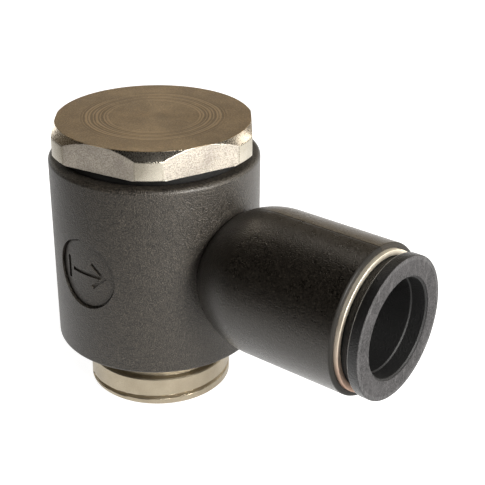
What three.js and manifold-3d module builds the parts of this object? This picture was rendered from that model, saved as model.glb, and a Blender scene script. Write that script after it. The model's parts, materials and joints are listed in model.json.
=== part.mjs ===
// Banjo flow control valve: a hollow bolt with a hexagon head clamps a turning nylon body,
// whose side barrel takes a push-in tube. A check poppet with a metering jet sits in the bolt.
// Millimetres. +Z runs up the bolt to its head, +X runs out along the tube socket, and the
// origin is the centre of the body's underside, which seats on the port face.
import * as THREE from 'three';
import { mergeVertices } from 'three/addons/utils/BufferGeometryUtils.js';
import Module from 'manifold-3d';

const wasm = await Module();
wasm.setup();

// ---------- driving dimensions ----------

// Bolt
const threadMajorRadius = 6.58;
const threadPitch = 1.337;
const threadGrooveDepth = 0.35;
const threadGrooveWidth = 0.4;
const threadStart = 0.83;
const threadStartTurn = 47;
const studLength = 5.2;
const studEndChamfer = 0.2;
const neckLength = 2.55;
const neckStep = 0.68;
const hexFlats = 17;
const hexCornerCut = 0.57;
const hexChamfer = 0.7;
const hexHeight = 2.4;
const hexTurn = 10;
const boltWall = 1.6;
const chamberTop = 12.0;
const crossPortRadius = 1.7;
const crossPortCount = 4;
const valveBoreDepth = 8.8;
const clipGrooveDepth = 0.45;

// Body
const bodyWall = 2.58;
const bodyHeight = 17.35;
const bodyTopRound = 0.45;
const bodyFootChamfer = 0.2;
const galleryDepth = 0.75;
const galleryHeight = 7.0;
const portSealPocketDepth = 1.3;
const emblemRadius = 3.2;
const emblemDepth = 0.25;

// Barrel and tube socket
const tubeDiameter = 8;
const barrelAxisHeight = 8.67;
const barrelWall = 0.42;
const barrelMouthRound = 0.25;
const shoulderReach = 4.36;
const shoulderArc = 7.2;
const tubeStopReach = 0.86;
const tubeGuideLength = 2.8;
const passageRadius = 2.75;

// Seals and slip ring
const glandSection = 1.44;
const glandWidth = 1.9;
const portSealSection = 1.4;
const seatRingSection = 0.6;
const washerThickness = 0.75;
const washerInset = 0.2;
const tubeSealLength = 1.8;
const sealSeatStep = 0.45;
const sealSeatSpare = 0.8;

// Push-in cartridge
const spacerFloor = 0.65;
const spacerLength = 2.3;
const spacerWall = 0.65;
const gripRimThickness = 0.35;
const gripRimWidth = 1.05;
const gripTeeth = 10;
const gripSlot = 0.5;
const gripLean = 1.0;
const sleeveWall = 0.5;
const sleeveLength = 5.65;
const sleeveProud = 0.35;
const sleeveMouth = 1.75;
const sleeveLip = 1.0;
const sleeveLipStep = 0.35;
const collarFlangeOverhang = 0.08;
const collarFlange = 0.95;
const collarTravel = 0.8;
const collarNoseWall = 0.6;
const collarSkirtWall = 0.9;
const collarBeadStep = 0.4;
const collarNoseLength = 1.4;
const collarBeadLength = 0.7;
const collarEdge = 0.12;

// Check valve
const seatHeight = 1.95;
const seatLip = 0.2;
const seatWall = 1.75;
const poppetFlowGap = 0.8;
const poppetDisc = 1.1;
const poppetStemRadius = 1.3;
const poppetTravel = 1.2;
const stemEngagement = 0.5;
const poppetSealThickness = 0.6;
const poppetSealStand = 0.25;
const jetHoleRadius = 0.25;
const jetBoreRadius = 0.8;
const jetLength = 1.4;
const screenThickness = 0.25;
const springWire = 0.4;
const springTurns = 3.5;
const guideThickness = 0.8;
const guideHoleRadius = 0.45;
const guideHoles = 8;
const clipInset = 0.45;
const clipThickness = 0.55;
const clipWall = 1.0;
const clipEar = 0.55;
const clipGap = 1.6;

// Clearances and gaps
const runningGap = 0.06;
const pressGap = 0.05;
const ringGap = 0.04;
const restGap = 0.05;
const slipGap = 0.02;
const lipGap = 0.15;
const tubeGap = 0.1;

// Segment counts: bodies that turn on each other share one count, so that their facets line up.
const fine = 48;
const medium = 36;
const small = 24;

// ---------- building blocks ----------

// A closed mesh with shared corners, no slivers and its faces pointing out.
function closed(geometry) {
  const bare = geometry.clone();
  bare.deleteAttribute('normal');
  bare.deleteAttribute('uv');
  const merged = mergeVertices(bare, 1e-5);
  const at = merged.attributes.position;
  const kept = [];
  let volume = 0;
  const a = new THREE.Vector3();
  const b = new THREE.Vector3();
  const c = new THREE.Vector3();
  for (let i = 0; i < merged.index.count; i += 3) {
    const face = [merged.index.getX(i), merged.index.getX(i + 1), merged.index.getX(i + 2)];
    if (new Set(face).size < 3) continue;
    a.fromBufferAttribute(at, face[0]);
    b.fromBufferAttribute(at, face[1]);
    c.fromBufferAttribute(at, face[2]);
    volume += a.dot(b.cross(c));
    kept.push(face);
  }
  const ordered = volume < 0 ? kept.map((face) => face.reverse()) : kept;
  merged.setIndex(ordered.flat());
  return merged;
}

function solid(geometry) {
  const mesh = closed(geometry);
  return new wasm.Manifold(new wasm.Mesh({
    numProp: 3,
    vertProperties: new Float32Array(mesh.attributes.position.array),
    triVerts: new Uint32Array(mesh.index.array),
  }));
}

function geometryOf(manifold) {
  const mesh = manifold.getMesh();
  const geometry = new THREE.BufferGeometry();
  geometry.setAttribute('position', new THREE.BufferAttribute(new Float32Array(mesh.vertProperties), 3));
  geometry.setIndex(new THREE.BufferAttribute(new Uint32Array(mesh.triVerts), 1));
  geometry.computeVertexNormals();
  return geometry;
}

// A ring or a round bar about +Z. An outline that leaves the axis out closes on itself.
function turned(outline, segments = fine) {
  const points = outline.map(([radius, height]) => new THREE.Vector2(radius, height));
  const last = outline[outline.length - 1];
  if (outline[0][0] > 0 || last[0] > 0) points.push(points[0].clone());
  return new THREE.LatheGeometry(points, segments).rotateX(Math.PI / 2);
}

function tube(inner, outer, bottom, top, segments = fine) {
  return turned([[inner, bottom], [outer, bottom], [outer, top], [inner, top]], segments);
}

function bar(radius, bottom, top, segments = fine) {
  return turned([[0, bottom], [radius, bottom], [radius, top], [0, top]], segments);
}

// An O-ring with a round section.
function ring(centreRadius, section, height, segments = fine, sides = 8) {
  const outline = [];
  for (let i = 0; i < sides; i += 1) {
    const turn = (i * 2 * Math.PI) / sides;
    outline.push([
      centreRadius + (section / 2) * Math.cos(turn),
      height + (section / 2) * Math.sin(turn),
    ]);
  }
  return turned(outline, segments);
}

function polygon(radius, sides) {
  const corners = [];
  for (let i = 0; i < sides; i += 1) {
    const turn = (i * 2 * Math.PI) / sides;
    corners.push(new THREE.Vector2(radius * Math.cos(turn), radius * Math.sin(turn)));
  }
  return new THREE.Shape(corners);
}

// A quarter-round or longer arc, as outline points about a centre.
function arc(centreRadius, centreHeight, radius, from, to, steps) {
  const points = [];
  for (let i = 0; i <= steps; i += 1) {
    const turn = THREE.MathUtils.degToRad(from + ((to - from) * i) / steps);
    points.push([centreRadius + radius * Math.cos(turn), centreHeight + radius * Math.sin(turn)]);
  }
  return points;
}

// Lays a piece turned about +Z along the tube socket, with its height running out along +X.
function alongSocket(geometry) {
  return geometry.rotateY(Math.PI / 2).translate(0, 0, barrelAxisHeight);
}

function spun(geometry, count, turn = 0) {
  let all = null;
  for (let i = 0; i < count; i += 1) {
    const one = solid(geometry.clone().rotateZ(turn + (i * 2 * Math.PI) / count));
    all = all ? all.add(one) : one;
  }
  return all;
}

// ---------- places worked out from the dimensions ----------

// Bolt, body and the seals between them, by radius and then by height.
const shankRadius = threadMajorRadius + 2 * runningGap;
const neckRadius = threadMajorRadius - neckStep;
const boreRadius = shankRadius + runningGap;
const bodyRadius = boreRadius + bodyWall;
const galleryRadius = boreRadius + galleryDepth;
const portSealPocketRadius = boreRadius + portSealSection + 4 * ringGap;
const hexCornerRadius = hexFlats / 2 / Math.cos(Math.PI / 6) - hexCornerCut;
const hexFaceRadius = hexCornerRadius - hexChamfer;
const galleryBottom = barrelAxisHeight - galleryHeight / 2;
const galleryTop = barrelAxisHeight + galleryHeight / 2;
const headUnderside = bodyHeight + washerThickness;
const headTop = headUnderside + hexHeight;
const threadTop = -neckLength;
const shankBottom = 4 * restGap;
const glandRingRadius = boreRadius - ringGap - glandSection / 2;
const glandBottomRadius = glandRingRadius - glandSection / 2 - ringGap;
const upperGland = (galleryTop + bodyHeight) / 2;
const lowerGland = (portSealPocketDepth + galleryBottom) / 2;
const portSealRadius = (shankRadius + portSealPocketRadius) / 2;
const portSealHeight = portSealPocketDepth - portSealSection / 2 - ringGap;

// Check valve, from the bolt's wall inwards and then from the seat down to the clip.
const valveBoreRadius = neckRadius - boltWall;
const seatOuter = valveBoreRadius - pressGap;
const seatBoreRadius = seatOuter - seatWall;
const poppetRadius = valveBoreRadius - poppetFlowGap;
const springRadius = poppetRadius - 1;
const valveBoreTop = valveBoreDepth - studLength;
const seatTop = valveBoreTop - restGap;
const seatFloor = seatTop - seatHeight;
const seatLipEnd = seatFloor - seatLip;
const poppetSealTop = seatLipEnd - restGap;
const poppetTop = poppetSealTop - poppetSealStand;
const poppetUnder = poppetTop - poppetDisc;
const clipBottom = -studLength + clipInset;
const clipTop = clipBottom + clipThickness;
const guideBottom = clipTop + restGap;
const guideTop = guideBottom + guideThickness;
const springBottom = guideTop + restGap;
const springTop = poppetUnder - restGap;
const stemBottom = guideTop - stemEngagement;

// Tube socket and cartridge, from the tube's wall outwards and then from the stop out.
const tubeRadius = tubeDiameter / 2;
const collarBore = tubeRadius + tubeGap;
const collarSkirt = collarBore + collarSkirtWall;
const sleeveLipInner = collarSkirt + lipGap;
const sleeveInner = sleeveLipInner + sleeveLipStep;
const sleeveRadius = sleeveInner + sleeveWall;
const socketRadius = sleeveRadius + pressGap;
const barrelRadius = socketRadius + barrelWall;
const sealSeatRadius = socketRadius - sealSeatStep;
const cartridgeRadius = sleeveRadius - pressGap;
const collarFlangeRadius = sleeveRadius + collarFlangeOverhang;
const collarNeck = sleeveInner - runningGap;
const collarBead = collarSkirt + collarBeadStep;
const gripToothRadius = tubeRadius - tubeGap;
const gripRimInner = cartridgeRadius - gripRimWidth;
const shoulderEnd = bodyRadius + shoulderReach;
const tubeStop = bodyRadius + tubeStopReach;
const sealSeatStart = tubeStop + tubeGuideLength;
const tubeSealStart = sealSeatStart + tubeGap;
const tubeSealEnd = tubeSealStart + tubeSealLength;
const socketStart = sealSeatStart + tubeSealLength + sealSeatSpare;
const spacerStart = socketStart + restGap;
const spacerEnd = spacerStart + spacerLength;
const gripRimStart = spacerEnd + restGap;
const gripRimEnd = gripRimStart + gripRimThickness;
const sleeveStart = gripRimEnd + restGap;
const sleeveEnd = sleeveStart + sleeveLength;
const barrelEnd = sleeveEnd - sleeveProud;
const sleeveLipEnd = sleeveEnd - sleeveMouth;
const sleeveLipStart = sleeveLipEnd - sleeveLip;
const collarFlangeBack = sleeveEnd + restGap + collarTravel;
const collarFace = collarFlangeBack + collarFlange;
const collarNeckStart = sleeveLipEnd + restGap + collarTravel;
const collarBeadEnd = sleeveLipStart - restGap;
const collarBeadStart = collarBeadEnd - collarBeadLength;
const collarNoseStart = collarBeadStart - collarNoseLength;

// ---------- materials ----------

const nylon = { color: 0x2b2b2c, roughness: 0.62, metalness: 0 };
const nickel = { color: 0xcabfae, roughness: 0.32, metalness: 1 };
const brass = { color: 0xb99a5b, roughness: 0.35, metalness: 1 };
const steel = { color: 0xb4b6b8, roughness: 0.3, metalness: 1 };
const rubber = { color: 0x161616, roughness: 0.85, metalness: 0 };
const acetal = { color: 0x6f6c6a, roughness: 0.55, metalness: 0 };
const paleAcetal = { color: 0xd9d5c8, roughness: 0.5, metalness: 0 };

const valve = new THREE.Group();

function place(name, geometry, look) {
  const mesh = new THREE.Mesh(geometry, new THREE.MeshStandardMaterial(look));
  mesh.name = name;
  valve.add(mesh);
}

// ---------- body ----------

// The barrel's rear shoulder: an arc that meets the straight barrel at shoulderEnd.
function shoulder(from, steps) {
  const points = [];
  for (let i = 0; i <= steps; i += 1) {
    const along = from + ((shoulderEnd - from) * i) / steps;
    const back = shoulderEnd - along;
    points.push([barrelRadius - shoulderArc + Math.sqrt(shoulderArc ** 2 - back ** 2), along]);
  }
  return points;
}

function bodySolid() {
  const roundRadius = bodyRadius - bodyTopRound;
  const upright = solid(turned([
    [0, 0],
    [bodyRadius - bodyFootChamfer, 0],
    [bodyRadius, bodyFootChamfer],
    ...arc(roundRadius, bodyHeight - bodyTopRound, bodyTopRound, 0, 90, 4),
    [0, bodyHeight],
  ]));
  const barrelStart = galleryRadius + 0.1;
  const barrel = solid(alongSocket(turned([
    [0, barrelStart],
    ...shoulder(barrelStart, 8),
    ...arc(barrelRadius - barrelMouthRound, barrelEnd - barrelMouthRound, barrelMouthRound, 0, 90, 3),
    [0, barrelEnd],
  ])));
  const bore = solid(turned([
    [0, -1],
    [portSealPocketRadius, -1],
    [portSealPocketRadius, portSealPocketDepth],
    [boreRadius, portSealPocketDepth],
    [boreRadius, galleryBottom],
    [galleryRadius, galleryBottom],
    [galleryRadius, galleryTop],
    [boreRadius, galleryTop],
    [boreRadius, bodyHeight + 1],
    [0, bodyHeight + 1],
  ]));
  const socket = solid(alongSocket(turned([
    [0, boreRadius],
    [passageRadius, boreRadius],
    [passageRadius, tubeStop],
    [collarBore, tubeStop],
    [collarBore, sealSeatStart],
    [sealSeatRadius, sealSeatStart],
    [sealSeatRadius, socketStart],
    [socketRadius, socketStart],
    [socketRadius, barrelEnd + 1],
    [0, barrelEnd + 1],
  ], medium)));
  const rim = solid(tube(bodyRadius - emblemDepth, bodyRadius + 1, 0, bodyHeight));
  const face = solid(bar(emblemRadius, 0, bodyRadius + 2)
    .rotateX(Math.PI / 2)
    .translate(0, 0, barrelAxisHeight));
  return upright.add(barrel).subtract(bore).subtract(socket).subtract(rim.intersect(face));
}

place('valve_body', geometryOf(bodySolid()), nylon);

// ---------- bolt ----------

// How far a point of the stud lies below the thread's crest, from its height and its turn.
// A narrow groove with a broad flat crest climbs one pitch a turn, right-handed.
function threadDrop(height, turn) {
  const phase = (height + studLength - threadStart) / threadPitch - turn / (2 * Math.PI);
  const fromGroove = Math.abs(phase - Math.round(phase)) * threadPitch;
  return threadGrooveDepth * Math.max(0, 1 - fromGroove / (threadGrooveWidth / 2));
}

function studSolid() {
  const rows = 14;
  const crestEnd = -studLength + studEndChamfer;
  const crest = [];
  for (let i = 0; i <= rows; i += 1) {
    crest.push([threadMajorRadius, crestEnd + ((threadTop - crestEnd) * i) / rows]);
  }
  const geometry = turned([
    [0, -studLength],
    [threadMajorRadius - studEndChamfer, -studLength],
    ...crest,
    [neckRadius, threadTop + 0.05],
    [neckRadius, shankBottom],
    [shankRadius, shankBottom],
    [shankRadius, lowerGland - glandWidth / 2],
    [glandBottomRadius, lowerGland - glandWidth / 2],
    [glandBottomRadius, lowerGland + glandWidth / 2],
    [shankRadius, lowerGland + glandWidth / 2],
    [shankRadius, upperGland - glandWidth / 2],
    [glandBottomRadius, upperGland - glandWidth / 2],
    [glandBottomRadius, upperGland + glandWidth / 2],
    [shankRadius, upperGland + glandWidth / 2],
    [shankRadius, headUnderside + hexHeight / 2],
    [0, headUnderside + hexHeight / 2],
  ]);
  const at = geometry.attributes.position;
  for (let i = 0; i < at.count; i += 1) {
    const radius = Math.hypot(at.getX(i), at.getY(i));
    const onCrest = Math.abs(radius - threadMajorRadius) < 1e-3 && at.getZ(i) < threadTop + 0.01;
    if (!onCrest) continue;
    const turn = Math.atan2(at.getY(i), at.getX(i)) + THREE.MathUtils.degToRad(threadStartTurn);
    const scale = (radius - threadDrop(at.getZ(i), turn)) / radius;
    at.setXY(i, at.getX(i) * scale, at.getY(i) * scale);
  }
  return solid(geometry);
}

function hexSolid() {
  const corner = hexFlats / 2 / Math.cos(Math.PI / 6);
  const prism = new THREE.ExtrudeGeometry(polygon(corner, 6), { depth: hexHeight, bevelEnabled: false })
    .rotateZ(THREE.MathUtils.degToRad(hexTurn))
    .translate(0, 0, headUnderside);
  const blank = turned([
    [0, headUnderside],
    [hexCornerRadius, headUnderside],
    [hexCornerRadius, headTop - hexChamfer],
    [hexFaceRadius, headTop],
    [0, headTop],
  ]);
  return solid(prism).intersect(solid(blank));
}

function boltSolid() {
  const hollow = solid(turned([
    [0, -studLength - 1],
    [valveBoreRadius, -studLength - 1],
    [valveBoreRadius, clipBottom - restGap],
    [valveBoreRadius + clipGrooveDepth, clipBottom - restGap],
    [valveBoreRadius + clipGrooveDepth, clipTop + restGap],
    [valveBoreRadius, clipTop + restGap],
    [valveBoreRadius, valveBoreTop],
    [seatBoreRadius, valveBoreTop],
    [seatBoreRadius, chamberTop - seatBoreRadius / 2],
    [0, chamberTop],
  ]));
  const crossPort = bar(crossPortRadius, 0, shankRadius + 1, small)
    .rotateY(Math.PI / 2)
    .translate(0, 0, barrelAxisHeight);
  return studSolid().add(hexSolid()).subtract(hollow).subtract(spun(crossPort, crossPortCount));
}

place('banjo_bolt', geometryOf(boltSolid()), nickel);

place('thrust_washer', geometryOf(solid(tube(
  boreRadius,
  hexFlats / 2 - washerInset,
  bodyHeight + slipGap,
  headUnderside - slipGap,
))), nylon);

// ---------- seals between bolt, body and port ----------

place('upper_o_ring', geometryOf(solid(ring(glandRingRadius, glandSection, upperGland))), rubber);
place('lower_o_ring', geometryOf(solid(ring(glandRingRadius, glandSection, lowerGland))), rubber);
place('port_seal', geometryOf(solid(ring(portSealRadius, portSealSection, portSealHeight))), rubber);

// ---------- check valve and jet inside the bolt ----------

const seatGrooveRadius = seatOuter - seatRingSection + ringGap;
const seatGrooveMid = (seatTop + seatFloor) / 2;
const seatGrooveHalf = seatRingSection / 2 + 0.1;
place('valve_seat', geometryOf(solid(turned([
  [seatBoreRadius, seatLipEnd],
  [seatBoreRadius + seatWall / 5, seatLipEnd],
  [seatBoreRadius + seatWall / 3, seatFloor],
  [seatOuter, seatFloor],
  [seatOuter, seatGrooveMid - seatGrooveHalf],
  [seatGrooveRadius, seatGrooveMid - seatGrooveHalf],
  [seatGrooveRadius, seatGrooveMid + seatGrooveHalf],
  [seatOuter, seatGrooveMid + seatGrooveHalf],
  [seatOuter, seatTop],
  [seatBoreRadius, seatTop],
], medium))), brass);

const seatRingRadius = (seatGrooveRadius + valveBoreRadius) / 2;
place('seat_o_ring', geometryOf(solid(
  ring(seatRingRadius, seatRingSection - 0.08, seatGrooveMid, medium),
)), rubber);

const sealGrooveInner = seatBoreRadius - poppetSealStand;
const sealGrooveOuter = poppetRadius - 0.15;
const sealGrooveFloor = poppetSealTop - poppetSealThickness - ringGap;
place('poppet', geometryOf(solid(turned([
  [jetBoreRadius, stemBottom],
  [poppetStemRadius, stemBottom],
  [poppetStemRadius, poppetUnder],
  [poppetRadius, poppetUnder],
  [poppetRadius, poppetTop],
  [sealGrooveOuter, poppetTop],
  [sealGrooveOuter, sealGrooveFloor],
  [sealGrooveInner, sealGrooveFloor],
  [sealGrooveInner, poppetTop],
  [jetBoreRadius + 0.3, poppetTop],
  [jetBoreRadius, poppetTop - 0.3],
], medium))), brass);

place('poppet_seal', geometryOf(solid(tube(
  sealGrooveInner + ringGap,
  sealGrooveOuter - ringGap,
  sealGrooveFloor + ringGap,
  poppetSealTop,
  medium,
))), rubber);

const jetTop = poppetTop - 0.3 - screenThickness - 2 * restGap;
const jetBottom = jetTop - jetLength;
const jetOuter = jetBoreRadius - ringGap;
place('metering_jet', geometryOf(solid(turned([
  [jetHoleRadius, jetBottom],
  [jetOuter, jetBottom],
  [jetOuter, jetTop],
  [jetHoleRadius + 0.25, jetTop],
  [jetHoleRadius, jetTop - 0.25],
], small))), brass);

function screenSolid() {
  const disc = solid(bar(jetOuter, jetTop + restGap, jetTop + restGap + screenThickness, small));
  const hole = bar(0.12, jetTop - 1, jetTop + 1, 12);
  return disc
    .subtract(spun(hole.clone().translate(jetOuter * 0.6, 0, 0), 6))
    .subtract(solid(hole));
}

place('jet_screen', geometryOf(screenSolid()), steel);

// The spring is one round wire along a helix, with open ends.
function springSolid() {
  const bottom = springBottom + springWire / 2;
  const top = springTop - springWire / 2;
  class Helix extends THREE.Curve {
    getPoint(t) {
      const turn = t * springTurns * 2 * Math.PI;
      return new THREE.Vector3(
        springRadius * Math.cos(turn),
        springRadius * Math.sin(turn),
        bottom + (top - bottom) * t,
      );
    }
  }
  return solid(new THREE.ExtrudeGeometry(polygon(springWire / 2, 6), {
    steps: Math.round(springTurns * 12),
    extrudePath: new Helix(),
    bevelEnabled: false,
  }));
}

place('check_spring', geometryOf(springSolid()), steel);

function guideSolid() {
  const plate = solid(tube(poppetStemRadius + runningGap, seatOuter, guideBottom, guideTop, medium));
  const hole = bar(guideHoleRadius, guideBottom - 1, guideTop + 1, 12);
  const holeRing = springRadius + springWire / 2 + guideHoleRadius + 0.1;
  return plate.subtract(spun(hole.translate(holeRing, 0, 0), guideHoles));
}

place('spring_guide', geometryOf(guideSolid()), brass);

function clipSolid() {
  const outer = valveBoreRadius + clipGrooveDepth - ringGap;
  const band = solid(tube(outer - clipWall, outer, clipBottom, clipTop, medium));
  const gap = solid(new THREE.BoxGeometry(2 * outer, clipGap, 4).translate(-outer, 0, clipBottom));
  const ears = solid(tube(outer - clipWall - clipEar, outer - clipEar, clipBottom, clipTop, medium));
  const earZone = solid(new THREE.BoxGeometry(outer, clipGap + 2, 4).translate(-outer, 0, clipBottom));
  return band.add(ears.intersect(earZone)).subtract(gap);
}

place('retaining_clip', geometryOf(clipSolid()), steel);

// ---------- push-in cartridge ----------

const tubeSealInner = tubeRadius - pressGap;
const tubeSealOuter = sealSeatRadius - ringGap;
const tubeSealMid = (tubeSealInner + tubeSealOuter) / 2;
place('tube_seal', geometryOf(solid(alongSocket(turned([
  [tubeSealInner, tubeSealStart + 0.35],
  [tubeSealInner + 0.35, tubeSealStart],
  [tubeSealOuter - 0.35, tubeSealStart],
  [tubeSealOuter, tubeSealStart + 0.35],
  [tubeSealOuter, tubeSealEnd],
  [tubeSealMid + 0.25, tubeSealEnd],
  [tubeSealMid, tubeSealEnd - tubeSealLength / 3],
  [tubeSealMid - 0.25, tubeSealEnd],
  [tubeSealInner, tubeSealEnd],
], medium)))), rubber);

const spacerBore = collarBore + lipGap;
const spacerInner = cartridgeRadius - spacerWall;
place('seal_spacer', geometryOf(solid(alongSocket(turned([
  [spacerBore, spacerStart],
  [cartridgeRadius, spacerStart],
  [cartridgeRadius, spacerEnd],
  [spacerInner, spacerEnd],
  [spacerInner, spacerStart + spacerFloor],
  [spacerBore, spacerStart + spacerFloor],
], medium)))), paleAcetal);

// The grip ring is a thin dished washer whose inner part is slit into leaning teeth.
function gripSolid() {
  const blank = solid(turned([
    [gripToothRadius, gripRimStart - gripLean],
    [gripRimInner, gripRimStart],
    [cartridgeRadius, gripRimStart],
    [cartridgeRadius, gripRimEnd],
    [gripRimInner, gripRimEnd],
    [gripToothRadius, gripRimEnd - gripLean],
  ], medium));
  const slot = new THREE.BoxGeometry(gripRimInner, gripSlot, 4 * gripLean)
    .translate(gripRimInner / 2 + gripSlot, 0, gripRimStart);
  return blank.subtract(spun(slot, gripTeeth));
}

place('grip_ring', alongSocket(geometryOf(gripSolid())), steel);

place('cartridge_sleeve', geometryOf(solid(alongSocket(turned([
  [sleeveInner, sleeveStart],
  [sleeveRadius, sleeveStart],
  [sleeveRadius, sleeveEnd - collarEdge],
  [sleeveRadius - collarEdge, sleeveEnd],
  [sleeveInner + collarEdge, sleeveEnd],
  [sleeveInner, sleeveEnd - collarEdge],
  [sleeveInner, sleeveLipEnd],
  [sleeveLipInner, sleeveLipEnd],
  [sleeveLipInner, sleeveLipStart],
  [sleeveInner, sleeveLipStart],
], medium)))), nickel);

place('release_collar', geometryOf(solid(alongSocket(turned([
  [collarBore, collarNoseStart],
  [collarBore + collarNoseWall, collarNoseStart],
  [collarBead, collarBeadStart],
  [collarBead, collarBeadEnd],
  [collarSkirt, collarBeadEnd],
  [collarSkirt, collarNeckStart],
  [collarNeck, collarNeckStart],
  [collarNeck, collarFlangeBack],
  [collarFlangeRadius - collarEdge, collarFlangeBack],
  [collarFlangeRadius, collarFlangeBack + collarEdge],
  [collarFlangeRadius, collarFace - collarEdge],
  [collarFlangeRadius - collarEdge, collarFace],
  [collarBore + 2 * collarEdge, collarFace],
  [collarBore, collarFace - 2 * collarEdge],
], medium)))), acetal);

export default valve;
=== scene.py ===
import json
from math import atan2, cos, hypot, pi, radians, sin, tan

import bmesh
import bpy
from mathutils import Matrix, Vector


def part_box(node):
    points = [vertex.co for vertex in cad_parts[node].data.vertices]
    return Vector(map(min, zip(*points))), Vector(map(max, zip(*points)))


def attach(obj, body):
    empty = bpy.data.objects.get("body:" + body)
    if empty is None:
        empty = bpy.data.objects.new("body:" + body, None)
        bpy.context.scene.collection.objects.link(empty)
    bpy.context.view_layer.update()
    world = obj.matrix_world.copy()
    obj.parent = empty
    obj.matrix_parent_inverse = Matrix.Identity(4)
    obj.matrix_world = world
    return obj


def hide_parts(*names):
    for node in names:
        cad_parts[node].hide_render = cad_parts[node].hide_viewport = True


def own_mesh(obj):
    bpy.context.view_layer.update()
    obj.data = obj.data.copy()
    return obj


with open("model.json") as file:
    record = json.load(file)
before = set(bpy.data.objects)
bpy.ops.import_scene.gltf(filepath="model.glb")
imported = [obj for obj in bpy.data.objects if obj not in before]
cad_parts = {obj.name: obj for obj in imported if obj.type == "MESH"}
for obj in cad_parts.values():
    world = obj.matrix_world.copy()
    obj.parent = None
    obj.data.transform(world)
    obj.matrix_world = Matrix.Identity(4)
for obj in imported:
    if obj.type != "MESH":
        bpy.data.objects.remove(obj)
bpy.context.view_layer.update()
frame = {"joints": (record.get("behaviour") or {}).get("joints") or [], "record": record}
scene = bpy.context.scene
mm = 0.001
print("frame loaded")


# shader helpers: a socket that can be used in sums, and one way to add a node

class Val:
    def __init__(self, look, socket):
        self.look = look
        self.socket = socket

    def math(self, operation, other=None, swap=False):
        pair = [self] if other is None else ([other, self] if swap else [self, other])
        return self.look.node("ShaderNodeMath", {"operation": operation}, dict(enumerate(pair)))

    def __add__(self, other):
        return self.math("ADD", other)

    def __radd__(self, other):
        return self.math("ADD", other)

    def __sub__(self, other):
        return self.math("SUBTRACT", other)

    def __rsub__(self, other):
        return self.math("SUBTRACT", other, True)

    def __mul__(self, other):
        return self.math("MULTIPLY", other)

    def __rmul__(self, other):
        return self.math("MULTIPLY", other)


class Look:
    def __init__(self, name):
        self.material = bpy.data.materials.new(name)
        self.material.use_nodes = True
        self.nodes = self.material.node_tree.nodes
        self.links = self.material.node_tree.links
        self.nodes.clear()
        self.output = self.nodes.new("ShaderNodeOutputMaterial")
        self.shader = self.nodes.new("ShaderNodeBsdfPrincipled")
        self.links.new(self.shader.outputs[0], self.output.inputs[0])
        self.place = self.node("ShaderNodeTexCoord", out="Object")

    def node(self, kind, settings=None, inputs=None, out=0):
        made = self.nodes.new(kind)
        for key, value in (settings or {}).items():
            setattr(made, key, value)
        for key, value in (inputs or {}).items():
            self.feed(made.inputs[key], value)
        return Val(self, made.outputs[out])

    def feed(self, socket, value):
        if isinstance(value, Val):
            self.links.new(value.socket, socket)
        elif isinstance(value, tuple) and len(value) == 3 and socket.type == "RGBA":
            socket.default_value = (*value, 1)
        else:
            socket.default_value = value

    def noise(self, size, detail=2, rough=0.5, at=None):
        return self.node("ShaderNodeTexNoise", None, {
            "Vector": at or self.place, "Scale": 1 / (size * mm), "Detail": detail, "Roughness": rough})

    def stretch(self, factors):
        return self.node("ShaderNodeVectorMath", {"operation": "MULTIPLY"}, {0: self.place, 1: factors})

    def axes(self):    # in millimetres
        parts = self.nodes.new("ShaderNodeSeparateXYZ")
        self.feed(parts.inputs[0], self.place)
        return [Val(self, socket) * 1000 for socket in parts.outputs]

    def step(self, value, low, high, start=0.0, end=1.0):
        return self.node("ShaderNodeMapRange", {"interpolation_type": "SMOOTHSTEP"}, {
            "Value": value, "From Min": low, "From Max": high, "To Min": start, "To Max": end})

    def mix(self, factor, first, second):
        made = self.nodes.new("ShaderNodeMix")
        made.data_type = "RGBA"
        self.feed(made.inputs[0], factor)
        self.feed(made.inputs[6], first)
        self.feed(made.inputs[7], second)
        return Val(self, made.outputs[2])

    def bump(self, height, strength, depth):
        return self.node("ShaderNodeBump", None, {
            "Height": height, "Strength": strength, "Distance": depth * mm})

    def finish(self, **sockets):
        for key, value in sockets.items():
            self.feed(self.shader.inputs[key.replace("_", " ")], value)
        return self.material


# mesh helpers: outlines are (radius, height, corner rounding) in millimetres

def roundCorner(bm, vert, rounding, segments):
    back, ahead = [edge.other_vert(vert).co - vert.co for edge in vert.link_edges]
    reach = min(rounding / tan(back.angle(ahead) / 2), 0.48 * back.length, 0.48 * ahead.length)
    bmesh.ops.bevel(bm, geom=[vert], offset=reach, segments=segments, profile=0.5,
                    affect="VERTICES", material=-1)


def spunMesh(outline, steps=192, segments=4, move=None):
    bm = bmesh.new()
    verts = [bm.verts.new((point[0], 0, point[1])) for point in outline]
    for pair in zip(verts, verts[1:]):
        bm.edges.new(pair)
    if outline[0][0] > 0 or outline[-1][0] > 0:
        bm.edges.new((verts[-1], verts[0]))
    for vert, point in zip(verts, outline):
        if len(point) > 2:
            roundCorner(bm, vert, point[2], segments)
    bmesh.ops.spin(bm, geom=bm.verts[:] + bm.edges[:], cent=(0, 0, 0), axis=(0, 0, 1), angle=2 * pi,
                   steps=steps, use_merge=True, use_duplicate=False)
    bmesh.ops.remove_doubles(bm, verts=bm.verts, dist=1e-4)
    bmesh.ops.dissolve_degenerate(bm, edges=bm.edges, dist=1e-5)
    bmesh.ops.recalc_face_normals(bm, faces=bm.faces)
    if move:
        bm.transform(move)
    return bm


def asObject(bm, name):
    mesh = bpy.data.meshes.new(name)
    bm.to_mesh(mesh)
    bm.free()
    made = bpy.data.objects.new(name, mesh)
    scene.collection.objects.link(made)
    return made


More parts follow.
